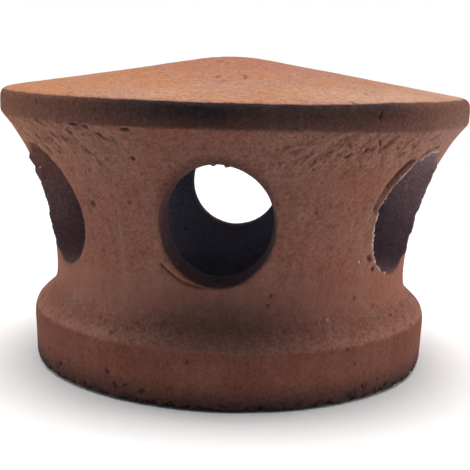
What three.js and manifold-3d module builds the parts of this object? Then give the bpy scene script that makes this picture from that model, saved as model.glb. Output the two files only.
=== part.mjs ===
// Terracotta roof vent lantern: a hollow turned clay body under a shallow cone cap, with a ring of oval
// vents cut through its flared neck. Its open base drops over the round socket of a vent tile.
// Millimetres, +Z up, origin at the centre of the underside, front vent towards -Y.
import * as THREE from 'three';
import { mergeVertices } from 'three/addons/utils/BufferGeometryUtils.js';
import Module from 'manifold-3d';

// Clay wall
const WALL = 14;

// Base band, straight-sided and a little wider at its top
const FOOT_RADIUS = 78.6;
const FOOT_ROUND = 2;
const BAND_RADIUS = 79.3;
const BAND_HEIGHT = 18.5;

// Sloping shoulder between the base band and the waist
const SHOULDER_CORNER_HEIGHT = 22.2;
const SHOULDER_FOOT_RADIUS = 76.7;
const SHOULDER_FOOT_HEIGHT = 24.5;
const SHOULDER_TOP_RADIUS = 72.6;
const SHOULDER_TOP_HEIGHT = 28.2;
const SHOULDER_HOLLOW_HEIGHT = 30.2;

// Waist and the neck that flares out from it
const WAIST_RADIUS = 70.6;
const WAIST_HEIGHT = 35.5;
const FLARE_RISE = 25.5;
const FLARE_REACH = 16.4;
const FLARE_LEAN_DEG = 42.5;

// Rim band
const RIM_RADIUS = 92;
const RIM_BOTTOM = 97.3;
const RIM_TOP = 103.6;
const RIM_ROUND_RADIAL = 3.6;
const RIM_ROUND_HEIGHT = 3.1;

// Cone cap
const CONE_SLOPE = 0.163;
const TIP_HEIGHT = 120;
const TIP_ROUND_RADIUS = 15;

// Socket and air space inside
const SOCKET_RADIUS = 65;
const SOCKET_DEPTH = 16;
const SOCKET_CHAMFER = 1;
const THROAT_HEIGHT = 29;
const CHAMBER_RADIUS = 69.5;
const CHAMBER_HEIGHT = 85;
const CHAMBER_LEAN_DEG = 22.5;
const CHAMBER_CORNER_RADIUS = 72.5;
const CEILING_RADIUS = 58;
const CEILING_TIP_SAG = 1;

// Oval vents, cut by hand, so each one has its own size and stands a little off its even place.
// They start at the front and go round by the right.
const VENTS = [
  { driftDeg: -2, height: 63, halfWidth: 20.1, halfHeight: 21.7 },
  { driftDeg: 0.9, height: 64, halfWidth: 20.5, halfHeight: 23 },
  { driftDeg: 0, height: 63.5, halfWidth: 20.4, halfHeight: 22.3 },
  { driftDeg: 0.3, height: 62.5, halfWidth: 21.3, halfHeight: 22.2 },
  { driftDeg: 0, height: 63.5, halfWidth: 20.4, halfHeight: 22.3 },
  { driftDeg: 0.4, height: 63.5, halfWidth: 20, halfHeight: 22.4 },
];
const VENT_FACE_RADIUS = 75;
const VENT_TAPER = 0.0045;
const PUNCH_INNER_RADIUS = 40;
const PUNCH_OUTER_RADIUS = 110;

// Facets
const TURN_SEGMENTS = 60;
const VENT_SEGMENTS = 36;
const CURVE_STEPS = 3;
const FLARE_STEPS = 7;

const wasm = await Module();
wasm.setup();

// Profiles are drawn from the axis out, round and back to the axis: x is the radius, y the height.
class Profile {
  constructor(radius, height) {
    this.points = [new THREE.Vector2(radius, height)];
  }

  line(radius, height) {
    this.points.push(new THREE.Vector2(radius, height));
    return this;
  }

  follow(curve, steps) {
    this.points.push(...curve.getPoints(steps).slice(1));
    return this;
  }

  // A rounded corner: the curve leaves and arrives along the two sides of the corner.
  corner(cornerRadius, cornerHeight, endRadius, endHeight) {
    const curve = new THREE.QuadraticBezierCurve(
      this.points.at(-1),
      new THREE.Vector2(cornerRadius, cornerHeight),
      new THREE.Vector2(endRadius, endHeight),
    );
    return this.follow(curve, CURVE_STEPS);
  }

  // A neck that starts upright and leans out towards its top.
  flare(leanDeg, endRadius, endHeight) {
    const start = this.points.at(-1);
    const end = new THREE.Vector2(endRadius, endHeight);
    const lean = THREE.MathUtils.degToRad(leanDeg);
    const back = new THREE.Vector2(-Math.sin(lean), -Math.cos(lean)).multiplyScalar(FLARE_REACH);
    const curve = new THREE.CubicBezierCurve(
      start,
      new THREE.Vector2(start.x, start.y + FLARE_RISE),
      back.add(end),
      end,
    );
    return this.follow(curve, FLARE_STEPS);
  }

  turn() {
    const geometry = new THREE.LatheGeometry(this.points, TURN_SEGMENTS);
    return solidOf(geometry.rotateX(Math.PI / 2));
  }
}

function solidOf(geometry) {
  geometry.deleteAttribute('normal');
  geometry.deleteAttribute('uv');
  const merged = mergeVertices(geometry, 1e-4);
  const mesh = new wasm.Mesh({
    numProp: 3,
    vertProperties: merged.attributes.position.array,
    triVerts: new Uint32Array(merged.index.array),
  });
  return new wasm.Manifold(mesh);
}

function geometryOf(solid) {
  const mesh = solid.getMesh();
  const geometry = new THREE.BufferGeometry();
  geometry.setAttribute('position', new THREE.BufferAttribute(mesh.vertProperties, 3));
  geometry.setIndex(new THREE.BufferAttribute(mesh.triVerts, 1));
  geometry.computeVertexNormals();
  return geometry;
}

// The clay as turned on the wheel, before it is hollowed.
function turnedOutside() {
  const rimShoulder = RIM_RADIUS - RIM_ROUND_RADIAL;
  const coneFoot = RIM_TOP + RIM_ROUND_HEIGHT;
  const coneHeight = (radius) => coneFoot + CONE_SLOPE * (rimShoulder - radius);
  const tipCorner = rimShoulder - (TIP_HEIGHT - coneFoot) / CONE_SLOPE;
  return new Profile(0, 0)
    .line(FOOT_RADIUS - FOOT_ROUND, 0)
    .corner(FOOT_RADIUS, 0, FOOT_RADIUS, FOOT_ROUND)
    .line(BAND_RADIUS, BAND_HEIGHT)
    .corner(BAND_RADIUS, SHOULDER_CORNER_HEIGHT, SHOULDER_FOOT_RADIUS, SHOULDER_FOOT_HEIGHT)
    .line(SHOULDER_TOP_RADIUS, SHOULDER_TOP_HEIGHT)
    .corner(WAIST_RADIUS, SHOULDER_HOLLOW_HEIGHT, WAIST_RADIUS, WAIST_HEIGHT)
    .flare(FLARE_LEAN_DEG, RIM_RADIUS, RIM_BOTTOM)
    .line(RIM_RADIUS, RIM_TOP)
    .corner(RIM_RADIUS, coneHeight(RIM_RADIUS), rimShoulder, coneFoot)
    .line(TIP_ROUND_RADIUS, coneHeight(TIP_ROUND_RADIUS))
    .corner(tipCorner, TIP_HEIGHT, 0, TIP_HEIGHT)
    .turn();
}

// The socket, the throat and the air chamber under the cap.
function hollow() {
  const throatRadius = WAIST_RADIUS - WALL;
  const ceilingTip = TIP_HEIGHT - WALL;
  const ceilingHeight = (radius) => ceilingTip + CEILING_TIP_SAG - CONE_SLOPE * radius;
  const cornerHeight = ceilingHeight(CHAMBER_RADIUS);
  return new Profile(0, -WALL)
    .line(SOCKET_RADIUS + SOCKET_CHAMFER, -WALL)
    .line(SOCKET_RADIUS + SOCKET_CHAMFER, 0)
    .line(SOCKET_RADIUS, SOCKET_CHAMFER)
    .line(SOCKET_RADIUS, SOCKET_DEPTH)
    .line(throatRadius, THROAT_HEIGHT)
    .line(throatRadius, WAIST_HEIGHT)
    .flare(CHAMBER_LEAN_DEG, CHAMBER_RADIUS, CHAMBER_HEIGHT)
    .corner(CHAMBER_CORNER_RADIUS, cornerHeight, CEILING_RADIUS, ceilingHeight(CEILING_RADIUS))
    .line(TIP_ROUND_RADIUS, ceilingHeight(TIP_ROUND_RADIUS))
    .line(0, ceilingTip)
    .turn();
}

// One oval punch, narrowing inwards, pointing from the axis through the wall.
function ventPunch(vent, index) {
  const widthAt = (radius) => 1 + VENT_TAPER * (radius - VENT_FACE_RADIUS);
  const length = PUNCH_OUTER_RADIUS - PUNCH_INNER_RADIUS;
  const middle = (PUNCH_OUTER_RADIUS + PUNCH_INNER_RADIUS) / 2;
  const geometry = new THREE.CylinderGeometry(
    widthAt(PUNCH_OUTER_RADIUS),
    widthAt(PUNCH_INNER_RADIUS),
    length,
    VENT_SEGMENTS,
  );
  geometry.scale(vent.halfWidth, 1, vent.halfHeight);
  geometry.rotateZ(Math.PI);
  geometry.translate(0, -middle, vent.height);
  geometry.rotateZ(THREE.MathUtils.degToRad((360 * index) / VENTS.length + vent.driftDeg));
  return solidOf(geometry);
}

let body = turnedOutside().subtract(hollow());
VENTS.forEach((vent, index) => {
  body = body.subtract(ventPunch(vent, index));
});

const clay = new THREE.MeshStandardMaterial({ color: 0xb4735a, roughness: 0.9, metalness: 0 });
const lanternBody = new THREE.Mesh(geometryOf(body), clay);
lanternBody.name = 'lantern_body';

const lantern = new THREE.Group();
lantern.add(lanternBody);

export default lantern;
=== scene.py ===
# Terracotta roof vent lantern on a pale studio floor.
# The clay body is turned from one wall profile, its vents are punched round the neck, and its skin is worked
# into hand-finished fired clay with pits, strokes, torn patches and worn edges.
import math
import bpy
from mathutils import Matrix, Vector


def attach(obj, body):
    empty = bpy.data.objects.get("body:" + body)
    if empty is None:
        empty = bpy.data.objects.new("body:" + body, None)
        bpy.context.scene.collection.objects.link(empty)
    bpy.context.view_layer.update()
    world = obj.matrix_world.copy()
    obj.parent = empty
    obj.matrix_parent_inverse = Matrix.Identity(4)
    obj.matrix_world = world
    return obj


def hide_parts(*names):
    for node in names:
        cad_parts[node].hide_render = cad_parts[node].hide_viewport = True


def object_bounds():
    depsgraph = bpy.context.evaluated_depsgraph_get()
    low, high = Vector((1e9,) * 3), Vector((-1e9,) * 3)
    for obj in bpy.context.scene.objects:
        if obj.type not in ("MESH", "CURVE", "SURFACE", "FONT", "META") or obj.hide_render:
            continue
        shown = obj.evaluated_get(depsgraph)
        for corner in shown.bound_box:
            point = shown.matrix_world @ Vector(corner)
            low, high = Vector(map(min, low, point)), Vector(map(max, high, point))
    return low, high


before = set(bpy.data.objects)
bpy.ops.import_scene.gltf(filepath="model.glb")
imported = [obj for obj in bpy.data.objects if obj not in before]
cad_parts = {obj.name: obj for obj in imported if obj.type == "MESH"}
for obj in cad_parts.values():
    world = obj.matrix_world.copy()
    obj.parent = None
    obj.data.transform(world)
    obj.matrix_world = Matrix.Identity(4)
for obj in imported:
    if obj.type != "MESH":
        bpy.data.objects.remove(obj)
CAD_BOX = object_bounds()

from types import SimpleNamespace

import bpy
import numpy as np
from mathutils import Matrix, Vector

bl_info = {
    "name": "Terracotta roof vent lantern",
    "version": (1, 0, 0),
    "blender": (4, 5, 0),
    "location": "View3D > Sidebar > Lantern",
    "description": "Turns a hollow clay vent lantern and sets it on a pale studio floor",
    "category": "Add Mesh",
}

CAD_NODE = "lantern_body"
MM = 0.001
DEG = math.radians(1)
VENTS = 6
IMAGE_SIDE = 470
SENSOR_WIDTH = 36.0
CURVE_STEPS = 12
EDGE_STEPS = 25
FLOOR_SIDES = 96
FLARE_POWER = 2.1


# Properties

def length(name, description, millimetres):
    """A size of the object, stored in metres."""
    return bpy.props.FloatProperty(
        name=name, description=description, default=millimetres * MM, unit="LENGTH", precision=5
    )


def angle(name, description, degrees):
    """An angle, stored in radians."""
    return bpy.props.FloatProperty(name=name, description=description, default=degrees * DEG, unit="ROTATION")


def share(name, description, default):
    """A plain factor."""
    return bpy.props.FloatProperty(name=name, description=description, default=default, precision=4)


def count(name, description, default):
    """A whole number."""
    return bpy.props.IntProperty(name=name, description=description, default=default)


def colour(name, description, default):
    """A linear colour."""
    return bpy.props.FloatVectorProperty(
        name=name, description=description, default=default, subtype="COLOR", size=3, min=0, max=1
    )


def each_vent(name, description, values, unit):
    """One number for each of the vents, in millimetres or degrees."""
    factor = MM if unit == "LENGTH" else DEG
    return bpy.props.FloatVectorProperty(
        name=name, description=description, size=VENTS, unit=unit,
        default=[value * factor for value in values],
    )


class LanternForm(bpy.types.PropertyGroup):
    """Sizes of the turned clay wall."""

    wall: length("Wall", "Thickness of the clay wall", 14)
    foot_radius: length("Foot radius", "Outside radius at the underside", 78.6)
    foot_round: length("Foot rounding", "Rounding of the lower outside edge", 2)
    band_radius: length("Band radius", "Outside radius at the top of the base band", 79.3)
    band_height: length("Band height", "Height of the straight base band", 18.5)
    shoulder_corner_height: length("Shoulder corner", "Height of the band's rounded corner", 22.2)
    shoulder_foot_radius: length("Shoulder foot radius", "Radius where the slope starts", 76.7)
    shoulder_foot_height: length("Shoulder foot height", "Height where the slope starts", 24.5)
    shoulder_top_radius: length("Shoulder top radius", "Radius where the slope ends", 72.6)
    shoulder_top_height: length("Shoulder top height", "Height where the slope ends", 28.2)
    shoulder_hollow_height: length("Shoulder hollow", "Height of the hollow under the waist", 30.2)
    waist_radius: length("Waist radius", "Outside radius at the narrowest place", 70.6)
    waist_height: length("Waist height", "Height of the narrowest place", 35.5)
    flare_rise: length("Flare rise", "How long the flare stays upright", 25.5)
    flare_reach: length("Flare reach", "How long the flare holds its lean under the rim", 16.4)
    flare_lean: angle("Flare lean", "Lean of the flare where it meets the rim", 42.5)
    rim_radius: length("Rim radius", "Outside radius of the rim band", CAD_BOX[1][0] / MM)
    rim_bottom: length("Rim bottom", "Height of the rim band's lower edge", 97.3)
    rim_top: length("Rim top", "Height where the rim band starts to round over", 103.6)
    rim_round_radial: length("Rim rounding", "Rounding of the rim's upper edge, inwards", 3.6)
    rim_round_height: length("Rim rounding height", "Rounding of the rim's upper edge, upwards", 3.1)
    cone_slope: share("Cone slope", "Rise of the cone cap for each unit of radius", 0.163)
    tip_height: length("Tip height", "Height of the cone's tip", CAD_BOX[1][2] / MM)
    tip_round_radius: length("Tip rounding", "Radius inside which the tip is rounded", 15)
    socket_radius: length("Socket radius", "Inside radius of the base", 65)
    socket_depth: length("Socket depth", "Depth of the straight socket", 16)
    socket_chamfer: length("Socket chamfer", "Chamfer of the socket's mouth", 1)
    throat_height: length("Throat height", "Height where the throat is narrowest", 29)
    chamber_radius: length("Chamber radius", "Widest inside radius under the cap", 69.5)
    chamber_height: length("Chamber height", "Height of the widest place inside", 85)
    chamber_lean: angle("Chamber lean", "Lean of the inside wall under the cap", 22.5)
    chamber_corner_radius: length("Chamber corner", "Radius of the corner under the cap", 72.5)
    ceiling_radius: length("Ceiling radius", "Radius where the ceiling starts", 58)
    ceiling_tip_sag: length("Ceiling sag", "How much the ceiling's tip is flattened", 1)
    turn_segments: count("Turn segments", "Steps round the turned wall", 240)
    profile_rows: count("Profile rows", "Steps along the wall's section", 300)


class LanternVents(bpy.types.PropertyGroup):
    """Sizes of the oval vents cut through the neck, from the front one round by the right."""

    drift: each_vent("Drift", "Turn of each vent off its even place", (-2, 0.9, 0, 0.3, 0, 0.4), "ROTATION")
    height: each_vent("Height", "Height of each vent's centre", (63, 64, 63.5, 62.5, 63.5, 63.5), "LENGTH")
    half_width: each_vent("Half width", "Half of each width", (20.1, 20.5, 20.4, 21.3, 20.4, 20), "LENGTH")
    half_height: each_vent("Half height", "Half of each height", (21.7, 23, 22.3, 22.2, 22.3, 22.4), "LENGTH")
    face_radius: length("Face radius", "Distance from the axis where a vent has that size", 75)
    taper: share("Taper", "Share that a vent widens for each millimetre outwards", 0.0045)
    punch_inner: length("Punch start", "Distance from the axis where the punch starts", 40)
    punch_outer: length("Punch end", "Distance from the axis where the punch ends", 110)
    punch_sides: count("Punch sides", "Sides of the round punch", 96)


class ClaySkin(bpy.types.PropertyGroup):
    """How the clay's surface is worked."""

    lump: length("Lump", "Size of the lumps that the clay is remade from", 0.62)
    triangles: count("Triangles", "Most triangles of the body", 192000)
    wobble: length("Wobble", "Slow waver of the hand-turned wall", 0.45)
    lumps: length("Unevenness", "Height of thumb-sized unevenness", 0.22)
    strokes: length("Strokes", "Depth of the upright finishing strokes", 0.12)
    stipple: length("Stipple", "Depth of the small marks of the brush", 0.2)
    grain: length("Grain", "Height of the sandy grain", 0.08)
    pit_depth: length("Pit depth", "Depth of single pits", 1.0)
    torn_depth: length("Torn depth", "Depth of the torn places under the rim", 1.5)
    torn_low: length("Torn from", "Height where the torn clay under the rim starts", 79)
    torn_full: length("Torn fully from", "Height from which it is at its roughest", 88)
    torn_fade: length("Torn fully to", "Height up to which it is at its roughest", 95)
    torn_high: length("Torn to", "Height where it ends under the rim", 98)
    foot_wear: length("Foot wear", "Depth of the chips along the foot", 1.9)
    burr: length("Burr", "Height of the burr that the cut left on the vents' far edges", 1.3)
    edge_softness: count("Edge softness", "Sponging of the vents' edges", 14)
    seed: count("Seed", "Seed of all irregular marks", 4)


class ClayColours(bpy.types.PropertyGroup):
    """Colours of the fired clay, and of its painted shade and highlights, linear."""

    brown: colour("Brown clay", "Main colour of the neck", (0.345, 0.148, 0.103))
    red: colour("Red clay", "Redder patches of the neck", (0.325, 0.122, 0.083))
    earth: colour("Earth red", "Redder clay of the base", (0.18, 0.064, 0.042))
    dusty: colour("Dusty clay", "Paler, greyer patches", (0.35, 0.2, 0.16))
    # Partly painted light: the cap's paler clay also stands for the overhead light on its top.
    bleached: colour("Bleached clay", "The cap, which looks up", (0.375, 0.185, 0.122))
    orange: colour("Orange clay", "Warm patches on the cap", (0.4, 0.172, 0.085))
    # Painted shade: the dark that stands for shade on the rim's front, in the shoulder's hollow, at the foot,
    # over the front vent and on the front vent's cut faces.
    smoke: colour("Smoke", "Smoke-dark clay on the rim", (0.04, 0.027, 0.028))
    # Painted shade on the rim's sides, browner than at the front.
    umber: colour("Umber", "Thin brown smoke on the rim's sides", (0.07, 0.024, 0.014))
    # Painted shade tint: the blue-grey that stands for the cool light inside.
    soot: colour("Soot", "Sooty clay inside", (0.25, 0.26, 0.33))
    # Painted shade tint: the mauve that stands for the shade on the vents' cut faces.
    cut: colour("Cut clay", "Smoky clay of the vents' cut faces", (0.31, 0.215, 0.235))
    fresh: colour("Fresh clay", "Clay laid bare in torn places", (0.46, 0.24, 0.165))
    # Painted highlight: the pale clay near the cap's edge.
    pale: colour("Pale clay", "Washed clay near the cap's edge", (0.46, 0.265, 0.185))
    # Painted highlight: the light colour of the raised lip.
    edge: colour("Worn edge", "Rubbed edges", (0.8, 0.62, 0.54))
    # Painted shade in pits, grooves and stipple, and the dark specks of the clay.
    pit: colour("Pit", "Dark clay in pits and cracks", (0.05, 0.024, 0.018))
    lime: colour("Lime", "Pale grains in the clay", (0.75, 0.66, 0.56))


class ClayStains(bpy.types.PropertyGroup):
    """Where painted shade, a painted highlight, painted warm light and dust lie on the fired clay."""

    edge_waver: length("Edge waver", "How far the edges between two clays waver", 0.8)
    base_edge: length("Base edge", "How far over the base band its redder clay ends", 2.7)
    base_edge_soft: length("Base edge softness", "Half of the way that this edge takes", 1.1)
    cap_edge: length("Cap edge", "How far over the rim's face the bleached cap starts", 2.1)
    cap_edge_soft: length("Cap edge softness", "Half of the way that this edge takes", 0.3)
    cap_edge_raise: length("Cap edge raise", "How much higher this edge lies on the right", 0.8)
    # How far up the cap the painted highlight reaches.
    cap_wash: length("Cap wash", "How far over the rim's face the pale wash ends", 9)
    drip: angle("Drip", "Azimuth of the orange drip at the cap's edge", 9)
    drip_reach: angle("Drip reach", "How far from there the drip ends", 9)
    # The rim's painted shade: where it is thickest, where it thins out and where it is darkest.
    smoke_middle: angle("Smoke middle", "Azimuth of the middle of the rim's smoke", 6)
    smoke_full: angle("Smoke full", "How far from there the smoke stays thick", 22)
    smoke_thin: angle("Smoke thin", "How far from there it has thinned out", 50)
    soot_middle: angle("Darkest smoke", "Azimuth of the darkest smoke", -5)
    soot_reach: angle("Darkest smoke's reach", "How far from there it ends", 18)
    # How high and how far round the shoulder's painted shade reaches.
    hollow_smoke: length("Hollow smoke", "Height up to which the shoulder's hollow is smoked", 48)
    hollow_reach: angle("Hollow smoke's reach", "How far from the front it ends", 38)
    # Height up to which the foot is darkened as painted shade.
    foot_soot: length("Foot soot", "Height up to which the foot is dark", 12)
    # Azimuth of the painted warm light on the left.
    left_glow: angle("Glow", "Azimuth of the warmer clay on the left", -62)
    right_chalk: angle("Chalk", "Azimuth of the dusty clay on the right", 62)
    side_reach: angle("Side reach", "How far from there glow and chalk end", 26)


class StudioSettings(bpy.types.PropertyGroup):
    """Camera, floor and light."""

    camera_distance: length("Camera distance", "Level distance of the camera from the axis", 394.8)
    camera_height: length("Camera height", "Height of the camera over the floor", 119.5)
    camera_side: length("Camera side step", "Step of the camera to its right", 1.45)
    camera_azimuth: angle("Camera azimuth", "Camera's turn round the lantern", 1.7)
    camera_pitch: angle("Camera pitch", "Downward tilt of the camera", 10.31)
    camera_roll: angle("Camera roll", "Roll of the camera", 1.63)
    focal_pixels: share("Focal length", "Focal length in pixels of the square image", 973.0)
    floor_radius: length("Floor radius", "Radius of the round floor", 500)
    floor_step: length("Floor step", "How far the floor's middle lies behind the lantern", 335)
    floor_drop: length("Floor drop", "Hair's breadth between the floor and the clay's underside", 0.2)
    floor_colour: colour("Floor", "Colour of the floor", (0.85, 0.85, 0.85))
    top_strength: share("Top light", "Strength of the soft light from above", 4.1)
    top_softness: angle("Top softness", "Width of the soft light from above", 45)
    top_tilt: angle("Top tilt", "Tilt of the light from above", -5)
    top_height: length("Top height", "Height of the light from above", 1500)
    top_tint: colour("Top tint", "Colour of the light from above", (1.0, 0.98, 0.95))
    box_side: length("Softbox side", "Side of both square softboxes", 800)
    box_reach: length("Softbox reach", "Distance of the softboxes to both sides", 1000)
    box_back: length("Softbox step back", "How far the softboxes stand behind the axis", 220)
    box_tint: colour("Softbox tint", "Colour of the softboxes", (1.0, 0.96, 0.9))
    left_height: length("Left height", "Height of the left softbox", 400)
    left_watts: share("Left light", "Power of the left softbox", 4.6)
    right_height: length("Right height", "Height of the right softbox", 280)
    right_watts: share("Right light", "Power of the right softbox", 7.0)
    ambient: share("Ambient", "Strength of the room's own light", 0.16)
    room_tint: colour("Room tint", "Colour of the room's own light", (0.66, 0.79, 1.0))


# Node trees

class Wire:
    """A value in a node tree. Sums, products and soft steps of wires add the nodes that work them out."""

    def __init__(self, sheet, socket):
        self.sheet = sheet
        self.socket = socket

    def math(self, operation, *others):
        return self.sheet.get("ShaderNodeMath", dict(enumerate((self, *others))), operation=operation)

    def __add__(self, other):
        return self.math("ADD", other)

    def __sub__(self, other):
        return self.math("SUBTRACT", other)

    def __rsub__(self, other):
        return self.math("MULTIPLY_ADD", -1.0, other)

    def __mul__(self, other):
        return self.math("MULTIPLY", other)

    def __truediv__(self, other):
        return self.math("DIVIDE", other)

    def __neg__(self):
        return self * -1.0

    def __abs__(self):
        return self.math("ABSOLUTE")

    def clamped(self):
        """The same value, held between zero and one."""
        self.socket.node.use_clamp = True
        return self

    def step(self, low, high, start=0.0, end=1.0):
        """A soft step from start at low to end at high."""
        sockets = {0: self, 1: low, 2: high, 3: start, 4: end}
        return self.sheet.get("ShaderNodeMapRange", sockets, interpolation_type="SMOOTHSTEP")

    def fade(self, low, high):
        """A soft step from one at low to zero at high."""
        return self.step(low, high, 1.0, 0.0)

    def hill(self, centre, half_width):
        """One at the centre, falling softly to zero half a width away."""
        return abs(self - centre).fade(0.0, half_width)

    def vector(self, operation, socket, value):
        return self.sheet.get("ShaderNodeVectorMath", {0: self, socket: value}, operation=operation)

    def parts(self):
        """The three parts of a vector."""
        return self.sheet.wires(self.sheet.add("ShaderNodeSeparateXYZ", {0: self}))

    def noise(self, scale, detail, roughness, seed):
        sockets = {"Vector": self, "W": seed, "Scale": scale, "Detail": detail, "Roughness": roughness}
        return self.sheet.get("ShaderNodeTexNoise", sockets, noise_dimensions="4D")

    def swing(self, scale, detail, roughness, seed):
        """Noise from minus one to one."""
        return self.noise(scale, detail, roughness, seed) * 2.0 - 1.0

    def bites(self, scale, density, smallest, largest, seed):
        """Round bites at scattered points: one at a bite's middle, zero outside. Sizes are in cells."""
        sockets = {"Vector": self, "W": seed, "Scale": scale}
        distance, tint, *_ = self.sheet.wires(
            self.sheet.add("ShaderNodeTexVoronoi", sockets, voronoi_dimensions="4D")
        )
        kind = "ShaderNode" if self.sheet.tree.type == "SHADER" else "FunctionNode"
        chance, size, *_ = self.sheet.wires(self.sheet.add(kind + "SeparateColor", {0: tint}))
        hollow = (distance / (size * (largest - smallest) + smallest)).fade(0.35, 1.0)
        return chance.math("LESS_THAN", density) * hollow


class NodeSheet:
    """Adds nodes to a tree and links them."""

    def __init__(self, tree):
        self.tree = tree
        self.count = 0

    def add(self, kind, sockets=None, **settings):
        node = self.tree.nodes.new(kind)
        node.location = (220 * (self.count // 6), -260 * (self.count % 6))
        self.count += 1
        for name, value in settings.items():
            setattr(node, name, value)
        for key, value in (sockets or {}).items():
            self.feed(node.inputs[key], value)
        return node

    def wires(self, node):
        return [Wire(self, socket) for socket in node.outputs]

    def get(self, kind, sockets=None, **settings):
        """The first output of a new node."""
        return self.wires(self.add(kind, sockets, **settings))[0]

    def feed(self, socket, value):
        if isinstance(value, Wire):
            self.tree.links.new(value.socket, socket)
        else:
            socket.default_value = value

    def join(self, x, y, z):
        return self.get("ShaderNodeCombineXYZ", {0: x, 1: y, 2: z})


def new_tree(name, values):
    """A geometry node tree with one mesh in, one mesh out and an input for each named value."""
    tree = bpy.data.node_groups.new(name, "GeometryNodeTree")
    tree.interface.new_socket("Geometry", in_out="INPUT", socket_type="NodeSocketGeometry")
    for label, value in values.items():
        kind = {int: "Int", float: "Float"}.get(type(value), "Material")
        tree.interface.new_socket(label, in_out="INPUT", socket_type="NodeSocket" + kind)
    tree.interface.new_socket("Geometry", in_out="OUTPUT", socket_type="NodeSocketGeometry")
    sheet = NodeSheet(tree)
    return sheet, {wire.socket.name: wire for wire in sheet.wires(sheet.add("NodeGroupInput"))}


def put_tree(piece, sheet, geometry, material, values):
    """Ends a tree with real geometry and its material, puts it on a piece and sets its inputs."""
    real = sheet.get("GeometryNodeRealizeInstances", {0: geometry})
    painted = sheet.get("GeometryNodeSetMaterial", {"Geometry": real, "Material": material})
    sheet.add("NodeGroupOutput", {0: painted})
    modifier = piece.modifiers.new(sheet.tree.name, "NODES")
    modifier.node_group = sheet.tree
    for item in sheet.tree.interface.items_tree:
        if item.name in values:
            modifier[item.identifier] = values[item.name]


def by_vent(number, values):
    """The value that belongs to a vent, by the vent's number."""
    switch = number.sheet.add("GeometryNodeIndexSwitch", data_type="FLOAT")
    while len(switch.index_switch_items) < len(values):
        switch.index_switch_items.new()
    number.sheet.feed(switch.inputs[0], number)
    for place, value in enumerate(values):
        switch.inputs[place + 1].default_value = value
    return Wire(number.sheet, switch.outputs[0])


def vent_size(vents, radius):
    """A vent's size at a distance from the axis, as a share of its size at the face."""
    return 1.0 + vents.taper * (radius - vents.face_radius) / MM


# Turned form

def turned_wall(sheet, given):
    """The wall's section turned round the axis."""
    profile = sheet.get("GeometryNodeMeshToCurve", {0: given["Geometry"]})
    columns = given["Turn segments"] + 1
    grid = sheet.get(
        "GeometryNodeMeshGrid",
        {"Size X": 1.0, "Size Y": 1.0, "Vertices X": columns, "Vertices Y": given["Profile rows"]},
    )
    across, along, _ = sheet.get("GeometryNodeInputPosition").parts()
    turn = (across + 0.5) * math.tau
    sampled = sheet.add(
        "GeometryNodeSampleCurve", {"Curves": profile, "Factor": along + 0.5},
        mode="FACTOR", use_all_curves=True,
    )
    radius, _, height = Wire(sheet, sampled.outputs["Position"]).parts()
    turned = sheet.join(radius * turn.math("SINE"), -(radius * turn.math("COSINE")), height)
    wall = sheet.get("GeometryNodeSetPosition", {"Geometry": grid, "Position": turned})
    return sheet.get("GeometryNodeMergeByDistance", {"Geometry": wall, "Distance": 1e-6})


def vent_punches(sheet, given, vents):
    """A ring of level oval punches, each with its own size and drift."""
    punch = sheet.get(
        "GeometryNodeMeshCone",
        {"Vertices": vents.punch_sides, "Radius Top": given["Wide end"], "Radius Bottom": given["Narrow end"],
         "Depth": given["Punch length"]},
        fill_type="NGON",
    )
    level = sheet.get("FunctionNodeEulerToRotation", {0: (90 * DEG, 0.0, 0.0)})
    start = sheet.join(0.0, -given["Punch start"], 0.0)
    punch = sheet.get("GeometryNodeTransform", {"Geometry": punch, "Translation": start, "Rotation": level})
    number = sheet.get("GeometryNodeInputIndex")
    row = sheet.get("GeometryNodeMeshLine", {"Count": VENTS, "Offset": (0.0, 0.0, 0.0)})
    raised = sheet.join(0.0, 0.0, by_vent(number, vents.height))
    row = sheet.get("GeometryNodeSetPosition", {"Geometry": row, "Position": raised})
    azimuth = number * (math.tau / VENTS) + by_vent(number, vents.drift)
    facing = sheet.get("FunctionNodeEulerToRotation", {0: sheet.join(0.0, 0.0, azimuth)})
    size = sheet.join(by_vent(number, vents.half_width), 1.0, by_vent(number, vents.half_height))
    punches = sheet.get(
        "GeometryNodeInstanceOnPoints",
        {"Points": row, "Instance": punch, "Rotation": facing, "Scale": size},
    )
    return sheet.get("GeometryNodeRealizeInstances", {0: punches})


def turn_form(piece, form, vents, clay):
    """Turns the wall's section round the axis and punches the oval vents through the neck."""
    values = {
        "Turn segments": form.turn_segments, "Profile rows": form.profile_rows,
        "Narrow end": vent_size(vents, vents.punch_inner), "Wide end": vent_size(vents, vents.punch_outer),
        "Punch start": vents.punch_inner, "Punch length": vents.punch_outer - vents.punch_inner, "Clay": clay,
    }
    sheet, given = new_tree("Turned form", values)
    meshes = {"Mesh 1": turned_wall(sheet, given), "Mesh 2": vent_punches(sheet, given, vents)}
    body = sheet.get("GeometryNodeMeshBoolean", meshes, operation="DIFFERENCE", solver="EXACT")
    put_tree(piece, sheet, body, given["Clay"], values)


# Worked skin

# Torn clay under the rim: azimuth of its middle, how far from there it is full and where it ends, in degrees,
# and its strength.
TORN_PLACES = ((33, 13, 27, 1.0), (-49, 18, 33, 1.0), (140, 0, 32, 0.6), (-140, 0, 32, 0.6))


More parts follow.
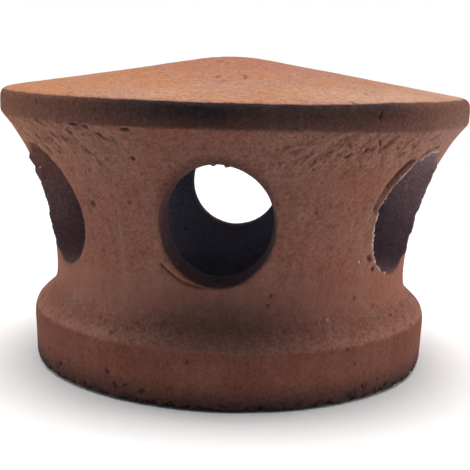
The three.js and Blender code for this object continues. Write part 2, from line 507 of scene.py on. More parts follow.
def wall_place(sheet, form):
    """Where a place lies on the wall, and how deep under the skin: zero outside, one on the inside."""
    position = sheet.get("GeometryNodeInputPosition")
    east, north, height = position.parts()
    radius = (east * east + north * north).math("SQRT")
    climb = ((height - form.waist_height) / (form.rim_bottom - form.waist_height)).clamped()
    flare = climb.math("POWER", FLARE_POWER) * (form.rim_radius - form.waist_radius)
    base = height.step(
        form.shoulder_foot_height - 3 * MM, form.waist_height - 3 * MM,
        form.band_radius - form.waist_radius, 0.0,
    )
    depth = ((flare + base + form.waist_radius - radius) / form.wall).clamped()
    covered = (form.tip_height - radius * form.cone_slope - height).step(4 * MM, 8 * MM)
    inside = depth * covered
    return SimpleNamespace(
        position=position, east=east, north=north, height=height, radius=radius,
        azimuth=east.math("ARCTAN2", -north), covered=covered, inside=inside, skin=inside.fade(0.1, 0.5),
    )


def vent_place(wall, vents):
    """Where a place lies by its nearest vent; the oval is one on the cut face and more round it."""
    pitch = math.tau / VENTS
    sector = (wall.azimuth / pitch).math("ROUND")
    number = sector.math("FLOORED_MODULO", VENTS)
    local = wall.azimuth - sector * pitch - by_vent(number, vents.drift)
    outwards = wall.radius * local.math("COSINE")
    width = wall.radius * local.math("SINE") / by_vent(number, vents.half_width)
    tall = (wall.height - by_vent(number, vents.height)) / by_vent(number, vents.half_height)
    oval = (width * width + tall * tall).math("SQRT")
    return SimpleNamespace(
        tall=tall, oval=oval / (outwards * (vents.taper / MM) + vent_size(vents, 0.0)),
        front=abs(sector).math("LESS_THAN", 0.5), far=wall.azimuth.math("SIGN") * width,
    )


def vent_marks(wall, vent, normal, burr, seed):
    """Cut faces with their painted shade, burrs on the far edges, painted shade over the front vent's top and
    sponged edges.
    """
    shallow = wall.inside.fade(0.12, 0.45)
    normal_east, normal_north, _ = normal.parts()
    facing = (normal_east * wall.east + normal_north * wall.north) / wall.radius
    cut = vent.oval.fade(1.07, 1.13) * facing.fade(0.3, 0.62)
    far_edge = vent.far.step(0.0, 0.5) * (1.0 - vent.front) * abs(vent.tall).fade(0.72, 0.92)
    strip = far_edge * vent.oval.fade(1.08, 1.2) * vent.oval.step(0.9, 1.0)
    far_side = vent.far.step(-0.6, 0.2, 0.45, 1.0) * abs(wall.azimuth).step(95 * DEG, 110 * DEG, 1.0, 0.45)
    ragged = wall.position.noise(190.0, 3.0, 0.6, seed).step(0.3, 0.65, 0.5, 1.2)
    sponged = vent.oval.hill(1.03, 0.22) * shallow * vent.tall.step(0.2, 0.9, 0.12, 1.0)
    return SimpleNamespace(
        # Where the cut faces take their painted shade, stronger on the far sides.
        cut_face=cut.math("MAXIMUM", strip) * vent.front.math("MAXIMUM", far_side),
        burr=vent.oval.hill(1.0, 0.09) * far_edge * shallow * ragged * burr,
        # Painted shade over the front vent's top edge.
        halo=vent.front * vent.oval.hill(1.0, 0.2) * vent.tall.step(0.1, 0.7) * wall.skin,
        sponged=sponged * (vent.front * 0.8 + 0.2),
    )


def turning_marks(wall, given):
    """The hand-turned wall's waver, its upright strokes, sandy grain and the brush's stipple."""
    seed = given["Seed"]
    waver = wall.position.swing(17.0, 1.0, 0.5, seed) * given["Wobble"]
    uneven = wall.position.swing(75.0, 3.0, 0.55, seed) * given["Unevenness"]
    upright = wall.position.vector("MULTIPLY", 1, (1.0, 1.0, 0.13))
    strokes = upright.swing(330.0, 2.0, 0.5, seed) * given["Strokes"] * wall.skin
    grain = wall.position.swing(560.0, 3.0, 0.7, seed) * given["Grain"]
    dabbed = wall.position.vector("MULTIPLY", 1, (1.0, 1.0, 0.45))
    neck = wall.height.step(26 * MM, 38 * MM) * wall.height.fade(97 * MM, 99 * MM) * wall.skin
    stipple = dabbed.noise(400.0, 3.0, 0.65, seed).step(0.46, 0.74) * (neck * 0.75 + 0.25)
    return waver + uneven + strokes + grain, stipple * wall.covered * wall.skin


def torn_clay(sheet, wall, form, skin, seed):
    """Torn clay under the rim: where it lies, and how deep it is torn there."""
    where = wall.position.noise(38.0, 2.0, 0.5, seed).step(0.25, 0.45, 0.3, 1.0)
    where = where * wall.height.step(skin.torn_low, skin.torn_full)
    where = where * wall.height.fade(skin.torn_fade, skin.torn_high)
    places = [
        abs(wall.azimuth - middle * DEG).fade(full * DEG, end * DEG) * strength
        for middle, full, end, strength in TORN_PLACES
    ]
    where = where * sum(places[1:], places[0])
    arc = abs(wall.azimuth) * form.band_radius
    slanted = sheet.join(
        (arc - wall.height) * 0.7, (arc + wall.height) * 0.28, wall.azimuth.math("SIGN")
    )
    tears = slanted.noise(430.0, 3.0, 0.6, seed).step(0.5, 0.68)
    flakes = slanted.noise(170.0, 3.0, 0.55, seed).step(0.5, 0.6)
    return where, (tears * 0.6 + flakes * 0.4) * where


def pits_and_chips(wall, seed):
    """Single pits, the base's denser pits and the chips along the foot."""
    pits = wall.position.bites(170.0, 0.09, 0.18, 0.32, seed)
    ledge = wall.height.step(20 * MM, 23 * MM) * wall.height.fade(29 * MM, 34 * MM) * 0.5
    dense = wall.position.bites(290.0, 0.45, 0.3, 0.62, seed)
    dense = dense * wall.height.fade(3 * MM, 13 * MM).math("MAXIMUM", ledge)
    chips = wall.position.noise(300.0, 3.0, 0.6, seed).step(0.43, 0.66)
    return pits, dense, chips * wall.height.fade(0.3 * MM, 5 * MM) * wall.skin


def work_skin(piece, form, vents, skin, clay):
    """Soft vent edges, hand-turned unevenness, strokes, grain, pits, torn places and a chipped foot."""
    values = {
        "Edge softness": skin.edge_softness, "Wobble": skin.wobble, "Unevenness": skin.lumps,
        "Strokes": skin.strokes, "Stipple": skin.stipple, "Grain": skin.grain, "Pit depth": skin.pit_depth,
        "Torn depth": skin.torn_depth, "Foot wear": skin.foot_wear, "Burr": skin.burr,
        "Seed": float(skin.seed), "Clay": clay,
    }
    sheet, given = new_tree("Clay skin", values)
    seed = given["Seed"]
    normal = sheet.get("GeometryNodeInputNormal")
    wall = wall_place(sheet, form)
    vent = vent_marks(wall, vent_place(wall, vents), normal, given["Burr"], seed)
    turned, stipple = turning_marks(wall, given)
    torn_where, torn = torn_clay(sheet, wall, form, skin, seed)
    pits, base_pits, chips = pits_and_chips(wall, seed)

    hollows = pits * given["Pit depth"] + torn * given["Torn depth"] + base_pits * given["Pit depth"] * 0.8
    sunk = hollows * wall.skin + chips * given["Foot wear"] + stipple * given["Stipple"]
    # Painted shade: pits, torn places and chips are darkened in the colour.
    dark = pits + base_pits * 0.9 + torn * 0.4 + chips * 0.6
    outward = sheet.join(wall.east / wall.radius, wall.north / wall.radius, 0.0)
    moved = wall.position.vector("ADD", 1, normal.vector("SCALE", "Scale", turned - sunk))
    moved = moved.vector("ADD", 1, outward.vector("SCALE", "Scale", vent.burr))
    east, north, height = moved.parts()
    standing = sheet.join(east, north, height.math("MAXIMUM", 0.0))

    blurred = sheet.get(
        "GeometryNodeBlurAttribute",
        {"Value": wall.position, "Iterations": given["Edge softness"],
         "Weight": vent.sponged.math("MAXIMUM", 0.1)},
        data_type="FLOAT_VECTOR",
    )
    worked = sheet.get("GeometryNodeSetPosition", {"Geometry": given["Geometry"], "Position": blurred})
    # Marks that the colours read, among them the painted shade of pits, cut faces and the front vent's top,
    # and the lip's painted highlight.
    for label, value in (
        ("inside", wall.inside), ("pit", (dark * wall.skin).math("MINIMUM", 1.0)),
        ("ragged", wall.position.noise(800.0, 2.0, 0.6, seed)), ("cut_face", vent.cut_face),
        ("halo", vent.halo), ("worn", 0.0), ("stipple", stipple), ("torn", torn_where * wall.skin),
    ):
        worked = sheet.get(
            "GeometryNodeStoreNamedAttribute", {"Geometry": worked, "Name": label, "Value": value},
            data_type="FLOAT", domain="POINT",
        )
    worked = sheet.get("GeometryNodeSetPosition", {"Geometry": worked, "Position": standing})
    put_tree(piece, sheet, worked, given["Clay"], values)


# Fired clay

class ClayPaint(NodeSheet):
    """A sheet for the clay's colours, which also reads the marks that are stored on the skin."""

    def mark(self, name):
        return Wire(self, self.add("ShaderNodeAttribute", attribute_name=name).outputs["Fac"])

    def blend(self, factor, first, second):
        first, second = [tint if isinstance(tint, Wire) else (*tint, 1.0) for tint in (first, second)]
        mix = self.add("ShaderNodeMix", {0: factor, 6: first, 7: second}, data_type="RGBA")
        return Wire(self, mix.outputs[2])


def clay_place(paint, form, stains):
    """Where a point lies on the lantern, and the noises and edges that its colours share."""
    place = Wire(paint, paint.add("ShaderNodeTexCoord").outputs["Object"])
    east, north, height = place.parts()
    azimuth = east.math("ARCTAN2", -north)
    wavy = place.noise(160.0, 3.0, 0.6, 14.0) * stains.edge_waver + (height - stains.edge_waver / 2)
    base_edge = form.band_height + stains.base_edge
    base = wavy.fade(base_edge - stains.base_edge_soft, base_edge + stains.base_edge_soft)
    cap_edge = form.rim_top + stains.cap_edge
    raised = abs(azimuth - 90 * DEG).step(48 * DEG, 75 * DEG, stains.cap_edge_raise, 0.0)
    return SimpleNamespace(
        place=place, east=east, height=height, azimuth=azimuth, wavy=wavy, base=base,
        shoulder=(1.0 - base) * height.fade(form.shoulder_top_height, form.waist_height),
        cap=(wavy - raised).step(cap_edge - stains.cap_edge_soft, cap_edge + stains.cap_edge_soft),
        broad=place.noise(22.0, 3.0, 0.55, 3.0), mottle=place.noise(85.0, 5.0, 0.65, 7.0),
        grain=place.noise(700.0, 4.0, 0.7, 1.0),
        streaks=place.vector("MULTIPLY", 1, (1.0, 1.0, 0.1)).noise(300.0, 3.0, 0.6, 5.0),
    )


def neck_and_base(paint, at, colours, stains):
    """The mottled brown neck with torn places, painted warm light on the left, dusty places, painted shade in
    the shoulder's hollow at the front and the redder base.
    """
    tone = paint.blend(at.broad.step(0.4, 0.62) * 0.8, colours.brown, colours.red)
    tone = paint.blend(at.base * at.mottle.step(0.3, 0.7, 1.0, 0.85), tone, colours.earth)
    tone = paint.blend(paint.mark("torn") * 0.4, tone, colours.fresh)
    high = at.height.step(60 * MM, 85 * MM)
    # Painted warm light on the left of the neck; dusty clay on the right.
    for azimuth, tint in ((stains.left_glow, colours.orange), (stains.right_chalk, colours.dusty)):
        tone = paint.blend(at.azimuth.hill(azimuth, stains.side_reach) * high * 0.5, tone, tint)
    dust = at.mottle.step(0.42, 0.66) * (at.base * -0.28 + 0.38)
    tone = paint.blend(dust + at.shoulder * 0.1, tone, colours.dusty)
    # Painted shade in the shoulder's hollow at the front, under the rim's overhang.
    hollow = (1.0 - at.base) * at.height.fade(30 * MM, stains.hollow_smoke)
    front = abs(at.azimuth).fade(4 * DEG, stains.hollow_reach)
    return paint.blend(hollow * front * 0.56, tone, colours.smoke)


def bleached_cap(paint, at, colours, form, stains, tone):
    """The cap, paler than the sides partly as painted light from above and partly bleached: warmer on the
    left and at the tip, with a painted highlight near its edge and an orange drip.
    """
    blush = at.east * -1.6 + at.place.noise(26.0, 4.0, 0.6, 12.0)
    warm = paint.blend(blush.step(0.42, 0.62), colours.bleached, colours.orange)
    warm = paint.blend(at.mottle.step(0.5, 0.7) * 0.4, warm, colours.dusty)
    # Painted highlight: paler clay near the cap's edge, weaker on the left.
    low = at.height.fade(form.rim_top + 4 * MM, form.rim_top + stains.cap_wash)
    rained = abs(at.azimuth + 90 * DEG).step(38 * DEG, 73 * DEG, 0.15, 1.0)
    warm = paint.blend(low * at.broad.step(0.35, 0.65, 0.3, 0.8) * rained, warm, colours.pale)
    drip = at.azimuth.hill(stains.drip, stains.drip_reach) * low * at.mottle.step(0.35, 0.6)
    warm = paint.blend(drip * 0.8, warm, colours.orange)
    tip = at.height.step(form.tip_height - 9 * MM, form.tip_height, 0.0, 0.55)
    warm = paint.blend(tip, warm, colours.red)
    return paint.blend(at.cap * paint.mark("inside").fade(0.3, 0.5), tone, warm)


def rim_smoke(paint, at, colours, form, stains, tone):
    """Painted shade round the rim: darkest near the front, where the rim faces away from the lights, and on
    the rounding, thin and brown on the sides.
    """
    away = abs(at.azimuth - stains.smoke_middle)
    lowered = away.step(8 * DEG, 32 * DEG, 0.5 * MM, 1.2 * MM)
    band = (at.wavy + lowered).step(form.rim_bottom, form.rim_bottom + 1.6 * MM) * (1.0 - at.cap)
    thick = away.step(stains.smoke_full, stains.smoke_thin, 0.77, 0.48)
    thick = thick + at.azimuth.hill(stains.soot_middle, stains.soot_reach) * 0.2
    thick = thick + at.height.step(form.rim_top - 0.5 * MM, form.rim_top + 2 * MM, 0.0, 0.2)
    thick = thick + away.step(120 * DEG, 175 * DEG, 0.0, 0.3)
    upper = at.height.step(form.rim_bottom - 1 * MM, form.rim_top, 0.64, 1.06)
    sides = paint.blend(away.step(18 * DEG, 52 * DEG, 0.0, 0.9), colours.smoke, colours.umber)
    # Painted shade: a dark band blended over the rim, thickest at the front.
    return paint.blend(band * thick * upper * at.streaks.step(0.3, 0.7, 0.88, 1.04), tone, sides)


def foot_and_vents(paint, at, colours, stains, tone):
    """Painted shade: the darkened foot, a dark halo over the front vent, the dark and mauve cut faces and the
    blue-grey inside.
    """
    # Painted shade: the foot darkened towards the floor.
    foot = at.height.step(0.5 * MM, stains.foot_soot, 0.92, 0.0) * at.mottle.step(0.3, 0.6, 0.65, 1.0)
    tone = paint.blend(foot, tone, colours.smoke)
    # Painted shade over the front vent's top edge, where the clay bends inwards.
    tone = paint.blend(paint.mark("halo") * 0.6, tone, colours.smoke)
    # Painted shade on the cut faces: dark on the front vent, a mauve shade tint on the others, browner high
    # on the left.
    front = abs(at.azimuth).fade(22 * DEG, 30 * DEG)
    cut = paint.blend(front * 0.5, colours.cut, colours.smoke)
    left = at.azimuth.math("SINE").step(-0.3, 0.3, 1.0, 0.15)
    cut = paint.blend(at.height.step(54 * MM, 84 * MM, 0.3, 0.8) * left, cut, colours.earth)
    tone = paint.blend(paint.mark("cut_face") * 0.95, tone, cut)
    # Painted shade tint: the inside is blue-grey, standing for the cool, dim light inside the body.
    return paint.blend(paint.mark("inside").step(0.85, 1.0) * 0.9, tone, colours.soot)


def specks_and_grain(paint, at, colours, tone):
    """Painted shade in the stipple and pits, a painted highlight along the lip, dark specks, pale grains and
    a sandy flicker, calmer at the waist.
    """
    # Painted shade in the stipple dents and the pits.
    tone = paint.blend(paint.mark("stipple") * 0.22, tone, colours.pit)
    tone = paint.blend(paint.mark("pit").step(0.12, 1.0) * 0.66, tone, colours.pit)
    # Painted highlight along the raised lip of the right vent.
    tone = paint.blend(paint.mark("worn"), tone, colours.edge)
    # Dark specks of the clay itself.
    tone = paint.blend(at.place.bites(300.0, 0.22, 0.2, 0.42, 2.0) * 0.55, tone, colours.pit)
    tone = paint.blend(at.place.bites(190.0, 0.05, 0.1, 0.18, 9.0) * 0.8, tone, colours.lime)
    sand = at.place.noise(1150.0, 3.0, 0.7, 6.0)
    flicker = at.grain.step(0.25, 0.75, -0.26, 0.26) + sand.step(0.25, 0.75, -0.2, 0.2)
    flicker = flicker + at.streaks.step(0.25, 0.75, -0.1, 0.1)
    calm = (1.0 - at.height.hill(38 * MM, 14 * MM) * 0.6) + at.base * -0.2 + at.shoulder * 0.15
    return tone.vector("SCALE", "Scale", flicker * calm + 1.0)


def fine_relief(paint, at):
    """Relief that is finer than the mesh: sand, streaks and the crumble of torn clay."""
    fine = at.place.noise(1500.0, 4.0, 0.75, 4.0)
    crumble = at.place.vector("MULTIPLY", 1, (1.0, 1.0, 0.5)).noise(480.0, 4.0, 0.65, 8.0)
    relief = at.grain * 0.9 + fine * 0.5 + at.streaks * 0.3 + crumble * paint.mark("torn") * 2.4
    return paint.get("ShaderNodeBump", {"Strength": 0.8, "Distance": 0.75 * MM, "Height": relief})


def clay_material(colours, stains, form):
    """Unglazed terracotta: brown sides, a cap paler partly as painted light, painted shade on the rim, in the
    hollow, at the foot and in the pits, a painted highlight near the cap's edge and pale grains.
    """
    material = bpy.data.materials.new("fired_terracotta")
    material.use_nodes = True
    material.node_tree.nodes.clear()
    paint = ClayPaint(material.node_tree)
    at = clay_place(paint, form, stains)
    tone = neck_and_base(paint, at, colours, stains)
    tone = bleached_cap(paint, at, colours, form, stains, tone)
    tone = rim_smoke(paint, at, colours, form, stains, tone)
    tone = foot_and_vents(paint, at, colours, stains, tone)
    tone = specks_and_grain(paint, at, colours, tone)
    shader = paint.get("ShaderNodeBsdfPrincipled", {
        "Base Color": tone, "Roughness": at.mottle.step(0.3, 0.7, 0.88, 0.98),
        "Normal": fine_relief(paint, at), "Specular IOR Level": 0.12,
    })
    paint.add("ShaderNodeOutputMaterial", {0: shader})
    return material


# Wall profile

class Profile:
    """A section of the wall as a row of points, each with a radius and a height."""

    def __init__(self, radius, height):
        self.points = [Vector((radius, height))]

    def line(self, radius, height):
        self.points.append(Vector((radius, height)))

    def curve(self, *controls, steps=CURVE_STEPS):
        """A Bezier curve from the last point to the last of its control points."""
        controls = [self.points[-1], *map(Vector, controls)]
        for step in range(1, steps + 1):
            row = controls
            while len(row) > 1:
                row = [first.lerp(second, step / steps) for first, second in zip(row, row[1:])]
            self.points.append(row[0])

    def flare(self, form, lean, radius, height, steps):
        """A wall that starts upright and leans out towards its top."""
        end = Vector((radius, height))
        back = Vector((math.sin(lean), math.cos(lean))) * form.flare_reach
        self.curve(self.points[-1] + Vector((0.0, form.flare_rise)), end - back, end, steps=steps)


def inside_profile(form):
    """The wall's inside, from the socket's mouth up to the ceiling's middle."""
    throat = form.waist_radius - form.wall
    ceiling_tip = form.tip_height - form.wall

    def ceiling(radius):
        return ceiling_tip + form.ceiling_tip_sag - form.cone_slope * radius

    inner = Profile(form.socket_radius + form.socket_chamfer, 0.0)
    inner.line(form.socket_radius, form.socket_chamfer)
    inner.line(form.socket_radius, form.socket_depth)
    inner.line(throat, form.throat_height)
    inner.line(throat, form.waist_height)
    inner.flare(form, form.chamber_lean, form.chamber_radius, form.chamber_height, 3 * CURVE_STEPS)
    corner = (form.chamber_corner_radius, ceiling(form.chamber_radius))
    inner.curve(corner, (form.ceiling_radius, ceiling(form.ceiling_radius)))
    inner.line(form.tip_round_radius, ceiling(form.tip_round_radius))
    inner.line(0.0, ceiling_tip)
    return inner.points


def outside_profile(form):
    """The wall's outside, from the foot up to the cone's tip."""
    rim_shoulder = form.rim_radius - form.rim_round_radial
    cone_foot = form.rim_top + form.rim_round_height
    tip_corner = rim_shoulder - (form.tip_height - cone_foot) / form.cone_slope
    waist = (form.waist_radius, form.waist_height)

    def cone(radius):
        return cone_foot + form.cone_slope * (rim_shoulder - radius)

    outer = Profile(form.foot_radius - form.foot_round, 0.0)
    outer.curve((form.foot_radius, 0.0), (form.foot_radius, form.foot_round))
    outer.line(form.band_radius, form.band_height)
    shoulder_foot = (form.shoulder_foot_radius, form.shoulder_foot_height)
    outer.curve((form.band_radius, form.shoulder_corner_height), shoulder_foot)
    outer.line(form.shoulder_top_radius, form.shoulder_top_height)
    outer.curve((form.waist_radius, form.shoulder_hollow_height), waist)
    outer.flare(form, form.flare_lean, form.rim_radius, form.rim_bottom, 4 * CURVE_STEPS)
    outer.line(form.rim_radius, form.rim_top)
    outer.curve((form.rim_radius, cone(form.rim_radius)), (rim_shoulder, cone_foot))
    outer.line(form.tip_round_radius, cone(form.tip_round_radius))
    outer.curve((tip_corner, form.tip_height), (0.0, form.tip_height))
    return outer.points


# Marks of the maker's hand and of wear, placed one by one

# Spots: azimuth in degrees, height, reach and depth in millimetres; a crumb has a depth below zero.
SPOTS = (
    # Round the front vent
    (13.5, 39.5, 1, 1.1), (12.5, 36, 0.9, 1), (12, 86.5, 0.9, 0.9), (13.5, 85, 0.8, 0.8), (20.5, 84, 1, 0.8),
    (-2.5, 85, 1.7, -1.4), (0.5, 85, 1.7, -1.4),
    # Round the front right vent
    (46, 50, 1.8, 1.8), (48.5, 45.5, 1.4, 1.4), (46, 92, 0.8, 0.8), (56, 27, 1, 1), (63, 22, 1.1, 0.9),
    # Low on the base
    (-64, 7.5, 1, 1), (-57, 9.5, 1, 1.1), (-50, 6.5, 1.3, 1.2), (-58, 21, 0.9, 0.8), (-28.5, 6, 1.2, 1.1),
    (-25, 6, 0.9, 1), (-20, 5, 1.3, 1.1), (-31, 1, 1.6, 1.2), (40, 5, 1.3, 1.1), (73, 3, 2.6, 1.7),
    # On the rim's upper edge
    (27, 106.5, 1.3, 1),
)
# Short grooves: azimuth and height of both ends in degrees and millimetres, reach and depth in millimetres.
GROOVES = (
    # Under the rim on the right
    (19.5, 85.5, 20.5, 88, 0.6, 0.9), (22, 91, 23, 92.5, 0.6, 0.9), (22.5, 89, 23.5, 91, 0.6, 0.9),
    (26.5, 94, 27.5, 92, 0.7, 0.9), (27.5, 88, 28.5, 89.5, 0.7, 1.3), (31, 88.5, 32.5, 91, 0.9, 1.2),
    (33.5, 90.5, 34, 92, 0.6, 1), (34.5, 94, 35.5, 92, 0.7, 1.3), (36, 91.5, 37.5, 92, 0.9, 1),
    (41.5, 91, 41.5, 93, 0.7, 1), (52.5, 93, 54, 94.5, 0.8, 1.4),
    # Under the rim on the left
    (-47, 93.5, -45.5, 92, 0.8, 1.4), (-46.5, 96.5, -45, 95.5, 0.7, 1.1), (-42, 91.5, -41, 90.5, 0.7, 1.2),
    (-37, 94.5, -36, 93, 0.8, 1), (-34.5, 96.5, -30, 96, 0.7, 1.4), (-28.5, 94, -27, 92.5, 0.8, 1.2),
    (-21.5, 96, -20, 96, 0.7, 1.3), (-21.5, 86.5, -21, 86, 0.7, 1.2),
    # On the rim
    (32.5, 101.5, 33, 103.5, 0.6, 0.7), (-51.5, 100.5, -51.5, 98.5, 0.5, 0.7),
    (-45, 102, -45.5, 104, 0.5, 0.7),
    # On the cap
    (-12.5, 112.5, -12, 113, 0.7, 1), (-5.5, 112.5, -5, 113.5, 0.8, 1.1), (-3, 111.5, -2, 112, 0.9, 1.1),
    (5.5, 112.5, 6, 113.5, 0.7, 1), (57, 111, 59, 112, 0.8, 1.1), (42, 109, 43, 110, 0.9, 1.2),
    (37, 108.5, 38, 109, 0.8, 1), (40, 110, 41.5, 110.5, 0.7, 1),
)
# Lines along a vent's edge: vent, start and end in degrees round its oval, start and end as a share of its
# size, reach and depth in millimetres; a lip of clay has a depth below zero.
EDGE_LINES = (
    (0, 214, 258, 1.17, 1.02, 0.6, 0.8),
    (1, 92, 152, 1.07, 1.09, 0.9, 1.2),
    (1, 128, 170, 1.14, 1.1, 2.6, 1.6),
    (1, 78, 250, 1.0, 1.0, 0.9, -0.9),
)


class Skin:
    """The vertices of the worked body, with their normals, the painted shade of their pits and the painted
    highlight on the lip.
    """

    def __init__(self, mesh, form):
        self.mesh = mesh
        self.place = self.read(mesh.vertices, "co", 3)
        self.normal = self.read(mesh.vertex_normals, "vector", 3)
        self.pit = self.mark(mesh, "pit")
        self.worn = self.mark(mesh, "worn")
        self.ragged = 2.2 * self.mark(mesh, "ragged") - 1.1
        self.radii, self.heights = zip(*outside_profile(form))

    @staticmethod
    def read(items, field, width):
        values = np.empty(len(items) * width, np.float32)
        items.foreach_get(field, values)
        return values.reshape(-1, width)

    @staticmethod
    def mark(mesh, name):
        return Skin.read(mesh.attributes[name].data, "value", 1)[:, 0]

    def on_outside(self, azimuth, height):
        """The place on the outside of the wall at an azimuth and a height."""
        radius = np.interp(height, self.heights, self.radii)
        return np.array((radius * math.sin(azimuth), -radius * math.cos(azimuth), height))

    def along_vent(self, vents, vent, turn, size):
        """The place on the outside of the wall at a turn round a vent's oval, at a share of its size."""
        up = vents.half_height[vent] * size * math.sin(turn)
        across = vents.half_width[vent] * size * math.cos(turn)
        radius = np.interp(vents.height[vent] + up, self.heights, self.radii)
        spread = vent_size(vents, radius)
        azimuth = vent * math.tau / VENTS + vents.drift[vent] + math.asin(across * spread / radius)
        return self.on_outside(azimuth, vents.height[vent] + up * spread)

    def press(self, line, reach, depth, raggedness, rubbed=0.0):
        """Presses a line of places into the skin, or raises it where the depth is below zero."""
        gap = np.full(len(self.place), np.inf)
        for start, end in zip(line, line[1:]):
            run = end - start
            along = np.clip((self.place - start) @ run / max(run @ run, 1e-12), 0.0, 1.0)
            gap = np.minimum(gap, np.linalg.norm(self.place - start - along[:, None] * run, axis=1))
        width = reach * (1.0 + raggedness * self.ragged)
        share_left = np.clip(1.0 - (gap / width) ** 2, 0.0, 1.0) ** 2
        self.place = self.place - self.normal * (depth * share_left)[:, None]
        # Painted shade: a pressed line is darkened in the colour.
        if depth > 0.0:
            self.pit = np.maximum(self.pit, share_left * min(1.0, 1.3 * MM / reach))
        # Painted highlight where a raised lip is pressed.
        self.worn = np.maximum(self.worn, share_left * rubbed)

    def write(self):
        self.place[:, 2] = np.maximum(self.place[:, 2], 0.0)
        self.mesh.vertices.foreach_set("co", self.place.astype(np.float32).ravel())
        self.mesh.attributes["pit"].data.foreach_set("value", self.pit.astype(np.float32))
        self.mesh.attributes["worn"].data.foreach_set("value", self.worn.astype(np.float32))
        self.mesh.update()


def press_marks(mesh, form, vents):
    """Puts the single marks on the worked body."""
    skin = Skin(mesh, form)
    for azimuth, height, reach, depth in SPOTS:
        spot = skin.on_outside(azimuth * DEG, height * MM)
        skin.press([spot, spot], reach * MM, depth * MM, 1.0)
    for azimuth, height, last_azimuth, last_height, reach, depth in GROOVES:
        ends = ((azimuth, height), (last_azimuth, last_height))
        skin.press([skin.on_outside(turn * DEG, up * MM) for turn, up in ends], reach * MM, depth * MM, 0.5)
    for vent, start, end, first, last, reach, depth in EDGE_LINES:
        turns = np.linspace(start * DEG, end * DEG, EDGE_STEPS)
        sizes = np.linspace(first, last, EDGE_STEPS)
        line = [skin.along_vent(vents, vent, turn, size) for turn, size in zip(turns, sizes)]
        skin.press(line, reach * MM, depth * MM, 0.4, rubbed=float(depth < 0.0))
    skin.write()


# Clay body

def as_plain_mesh(piece):
    """Replaces a piece's modifiers by the mesh that they make."""
    graph = bpy.context.evaluated_depsgraph_get()
    mesh = bpy.data.meshes.new_from_object(piece.evaluated_get(graph))
    piece.modifiers.clear()
    old = piece.data
    piece.data = mesh
    bpy.data.meshes.remove(old)
    return mesh


def thin_out(piece, triangles):
    """Thins a piece to a number of triangles, most of all on its hidden inside."""
    present = sum(len(face.vertices) - 2 for face in piece.data.polygons)
    if present <= triangles:
        return
    hidden = Skin.mark(piece.data, "inside") > 0.6
    group = piece.vertex_groups.new(name="thinned")
    group.add(np.flatnonzero(hidden).tolist(), 1.0, "REPLACE")
    group.add(np.flatnonzero(~hidden).tolist(), 0.3, "REPLACE")
    thin = piece.modifiers.new("Thinning", "DECIMATE")
    thin.ratio = triangles / present
    thin.vertex_group = group.name
    thin.vertex_group_factor = 1e-5
    as_plain_mesh(piece)
    piece.vertex_groups.clear()


def settle(piece):
    """Lifts what thinning has pressed under the floor, and drops the mark that no colour reads."""
    mesh = piece.data
    for vertex in mesh.vertices:
        vertex.co.z = max(vertex.co.z, 0.0)
    mesh.attributes.remove(mesh.attributes["ragged"])
    mesh.name = piece.name
    mesh.shade_smooth()


class LANTERN_OT_clay_body(bpy.types.Operator):
    """Turn the hollow clay body, punch its vents and work its skin"""

    bl_idname = "lantern.clay_body"
    bl_label = "Clay body"

    def execute(self, context):
        scene = context.scene
        form = scene.lantern_form
        vents = scene.lantern_vents
        skin = scene.lantern_skin
        clay = clay_material(scene.lantern_colours, scene.lantern_stains, form)
        profile = inside_profile(form)[::-1] + outside_profile(form)
        points = [(radius, 0.0, height) for radius, height in profile]
        section = bpy.data.meshes.new("wall_section")
        section.from_pydata(points, [(i, i + 1) for i in range(len(points) - 1)], [])
        piece = bpy.data.objects.new("terracotta_lantern", section)
        scene.collection.objects.link(piece)
        turn_form(piece, form, vents, clay)
        lumps = piece.modifiers.new("Lumps", "REMESH")
        lumps.mode = "VOXEL"
        lumps.voxel_size = skin.lump * 1.0
        lumps.use_smooth_shade = True
        work_skin(piece, form, vents, skin, clay)
        mesh = as_plain_mesh(piece)
        if not mesh.polygons:
            raise RuntimeError("the clay body came out empty")
        press_marks(mesh, form, vents)
        thin_out(piece, skin.triangles)
        settle(piece)
        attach(piece, "root")
        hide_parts(CAD_NODE)
        return {"FINISHED"}


# Studio

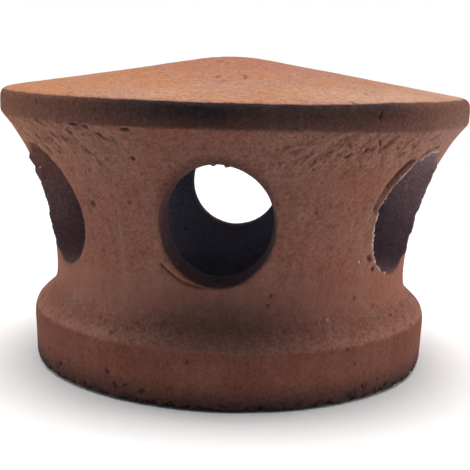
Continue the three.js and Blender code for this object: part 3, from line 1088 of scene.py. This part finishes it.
class LANTERN_OT_studio(bpy.types.Operator):
    """Set the pale floor, the soft lights and the camera"""

    bl_idname = "lantern.studio"
    bl_label = "Studio"

    def execute(self, context):
        scene = context.scene
        studio = scene.lantern_studio
        self.floor(scene, studio)
        self.room(scene, studio)
        self.overhead(scene, studio)
        self.softbox(scene, studio, "left_softbox", -1, studio.left_height, studio.left_watts)
        self.softbox(scene, studio, "right_softbox", 1, studio.right_height, studio.right_watts)
        self.camera(scene, studio)
        scene.view_settings.view_transform = "Standard"
        return {"FINISHED"}

    def floor(self, scene, studio):
        turns = [math.tau * side / FLOOR_SIDES for side in range(FLOOR_SIDES)]
        radius = studio.floor_radius
        ring = [
            (radius * math.cos(turn), radius * math.sin(turn) + studio.floor_step, -studio.floor_drop)
            for turn in turns
        ]
        mesh = bpy.data.meshes.new("studio_floor")
        mesh.from_pydata(ring, [], [tuple(range(FLOOR_SIDES))])
        floor = bpy.data.objects.new("studio_floor", mesh)
        scene.collection.objects.link(floor)
        paint = bpy.data.materials.new("pale_floor")
        paint.use_nodes = True
        shader = paint.node_tree.nodes["Principled BSDF"]
        shader.inputs["Base Color"].default_value = (*studio.floor_colour, 1.0)
        shader.inputs["Roughness"].default_value = 0.9
        mesh.materials.append(paint)

    def room(self, scene, studio):
        world = bpy.data.worlds.new("studio_room")
        world.use_nodes = True
        world.node_tree.nodes.clear()
        sheet = NodeSheet(world.node_tree)
        seen = Wire(sheet, sheet.add("ShaderNodeLightPath").outputs["Is Camera Ray"])
        dim = sheet.get("ShaderNodeBackground", {0: (*studio.room_tint, 1.0), 1: studio.ambient})
        white = sheet.get("ShaderNodeBackground", {0: (1.0, 1.0, 1.0, 1.0), 1: 1.0})
        sheet.add("ShaderNodeOutputWorld", {0: sheet.get("ShaderNodeMixShader", {0: seen, 1: dim, 2: white})})
        scene.world = world

    def overhead(self, scene, studio):
        lamp = bpy.data.lights.new("overhead_light", "SUN")
        lamp.energy = studio.top_strength
        lamp.angle = studio.top_softness
        lamp.color = studio.top_tint
        light = bpy.data.objects.new("overhead_light", lamp)
        light.location = (0.0, 0.0, studio.top_height)
        light.rotation_euler = (studio.top_tilt, 0.0, 0.0)
        scene.collection.objects.link(light)

    def softbox(self, scene, studio, name, side, height, watts):
        lamp = bpy.data.lights.new(name, "AREA")
        lamp.shape = "SQUARE"
        lamp.size = studio.box_side
        lamp.energy = watts
        lamp.color = studio.box_tint
        light = bpy.data.objects.new(name, lamp)
        light.location = (side * studio.box_reach, studio.box_back, height)
        middle = Vector((0.0, 0.0, scene.lantern_form.tip_height / 2))
        light.rotation_euler = (middle - light.location).to_track_quat("-Z", "Y").to_euler()
        scene.collection.objects.link(light)

    def camera(self, scene, studio):
        lens = bpy.data.cameras.new("photo_camera")
        lens.sensor_width = SENSOR_WIDTH
        lens.lens = studio.focal_pixels / IMAGE_SIDE * SENSOR_WIDTH
        lens.clip_start = 10 * MM
        camera = bpy.data.objects.new("photo_camera", lens)
        turn = Matrix.Rotation(studio.camera_azimuth, 4, "Z")
        stand = Vector((studio.camera_side, -studio.camera_distance, studio.camera_height))
        tilt = Matrix.Rotation(90 * DEG - studio.camera_pitch, 4, "X")
        roll = Matrix.Rotation(studio.camera_roll, 4, "Z")
        camera.matrix_world = turn @ Matrix.Translation(stand) @ tilt @ roll
        scene.collection.objects.link(camera)
        scene.camera = camera


# Add-on

class LANTERN_PT_panel(bpy.types.Panel):
    """Lists the steps that make the lantern"""

    bl_idname = "LANTERN_PT_panel"
    bl_label = "Lantern"
    bl_space_type = "VIEW_3D"
    bl_region_type = "UI"
    bl_category = "Lantern"

    def draw(self, context):
        for operator in OPERATORS:
            self.layout.operator(operator.bl_idname)


SETTINGS = {
    "lantern_form": LanternForm,
    "lantern_vents": LanternVents,
    "lantern_skin": ClaySkin,
    "lantern_colours": ClayColours,
    "lantern_stains": ClayStains,
    "lantern_studio": StudioSettings,
}
OPERATORS = (LANTERN_OT_clay_body, LANTERN_OT_studio)
CLASSES = (*SETTINGS.values(), *OPERATORS, LANTERN_PT_panel)


def register():
    for kind in CLASSES:
        bpy.utils.register_class(kind)
    for name, kind in SETTINGS.items():
        setattr(bpy.types.Scene, name, bpy.props.PointerProperty(type=kind))


def unregister():
    for name in SETTINGS:
        delattr(bpy.types.Scene, name)
    for kind in reversed(CLASSES):
        bpy.utils.unregister_class(kind)


def main():
    register()
    bpy.ops.lantern.clay_body()
    bpy.ops.lantern.studio()


if __name__ == "__main__":
    main()
